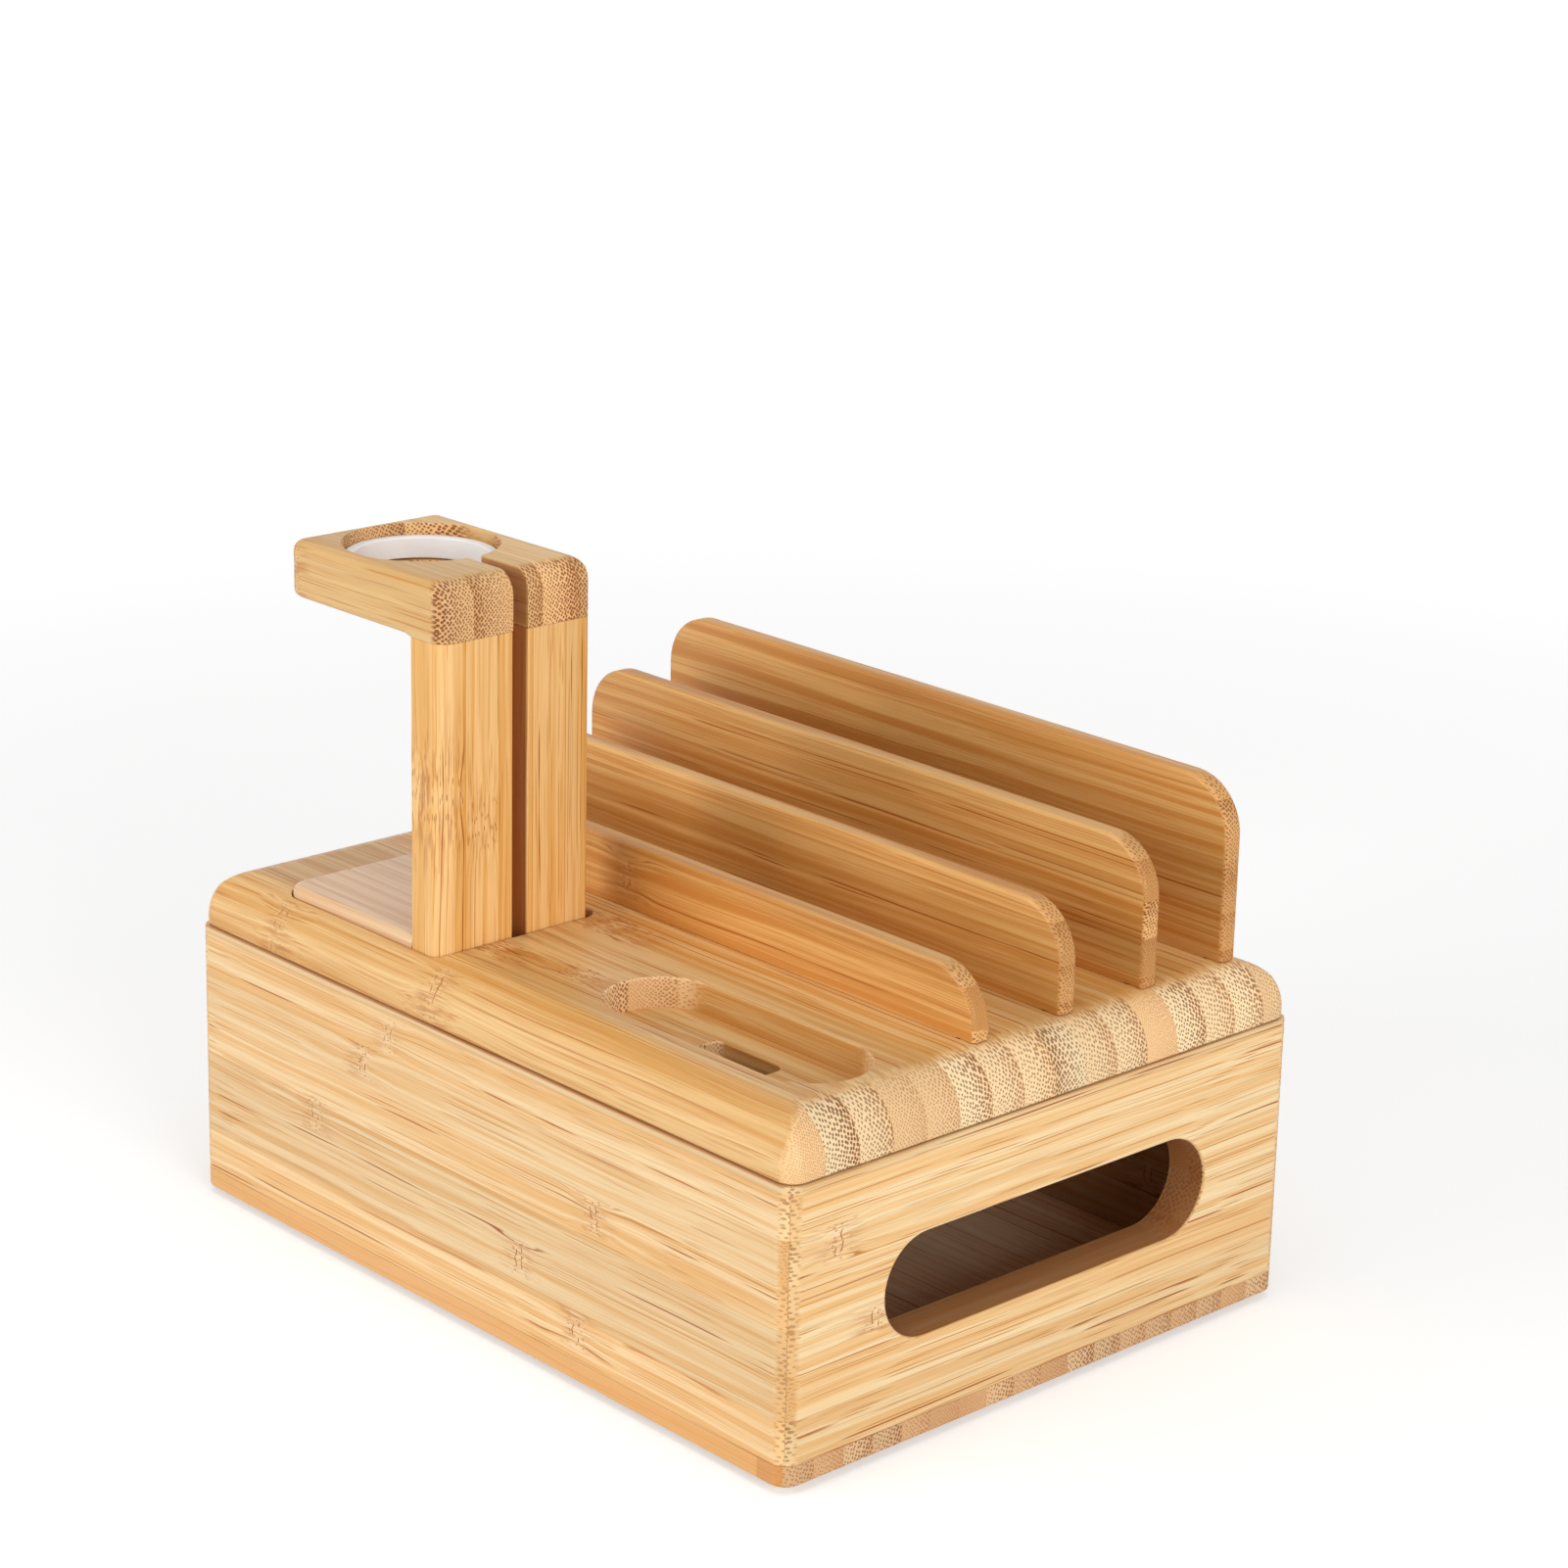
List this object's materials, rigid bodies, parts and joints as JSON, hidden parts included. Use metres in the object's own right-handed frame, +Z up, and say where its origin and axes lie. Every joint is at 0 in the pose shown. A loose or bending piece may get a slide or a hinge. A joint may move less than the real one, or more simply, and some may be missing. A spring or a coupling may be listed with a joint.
{
  "type": "device organizer stand",
  "caption": "Wooden box with a lift-off lid that carries stepped dividers, an earbud pocket and a watch stand with a ring for its charger.",
  "frame": {"origin": "middle of the footprint, on the surface that the feet stand on", "axes": "+X along the box to its right end, +Y from the front wall to the back wall, +Z up"},
  "size_m": [0.175, 0.13, 0.1407],
  "materials": {
    "bamboo": "satin lacquer",
    "lid_bamboo": "satin lacquer",
    "divider_bamboo": "satin lacquer",
    "beech": "raw",
    "white_silicone": "satin",
    "grey_rubber": "matt"
  },
  "bodies": {
    "box": {"bottom_panel": "bamboo", "front_wall": "bamboo", "back_wall": "bamboo", "left_wall": "bamboo", "right_wall": "bamboo", "foot_front_left": "grey_rubber", "foot_front_right": "grey_rubber", "foot_back_left": "grey_rubber", "foot_back_right": "grey_rubber"},
    "lid": {"lid_panel": "lid_bamboo", "lid_batten_front": "bamboo", "lid_batten_back": "bamboo"},
    "divider_1_body": {"divider_1": "divider_bamboo"},
    "divider_2_body": {"divider_2": "divider_bamboo"},
    "divider_3_body": {"divider_3": "divider_bamboo"},
    "divider_4_body": {"divider_4": "divider_bamboo"},
    "watch_stand": {"stand_base": "bamboo", "stand_post": "bamboo", "stand_arm": "bamboo", "charger_ring": "white_silicone", "base_dowel_front": "beech", "base_dowel_back": "beech", "arm_dowel_front": "beech", "arm_dowel_back": "beech"}
  },
  "joints": [
    {"name": "lid_lift", "type": "slide", "parent": "box", "child": "lid", "axis": [0, 0, 1], "range_m": [0, 0.06]},
    {"name": "divider_1_lift", "type": "slide", "parent": "lid", "child": "divider_1_body", "axis": [0, 0, 1], "range_m": [0, 0.03]},
    {"name": "divider_2_lift", "type": "slide", "parent": "lid", "child": "divider_2_body", "axis": [0, 0, 1], "range_m": [0, 0.03]},
    {"name": "divider_3_lift", "type": "slide", "parent": "lid", "child": "divider_3_body", "axis": [0, 0, 1], "range_m": [0, 0.03]},
    {"name": "divider_4_lift", "type": "slide", "parent": "lid", "child": "divider_4_body", "axis": [0, 0, 1], "range_m": [0, 0.03]},
    {"name": "watch_stand_lift", "type": "slide", "parent": "lid", "child": "watch_stand", "axis": [0, 0, 1], "range_m": [0, 0.045]}
  ]
}
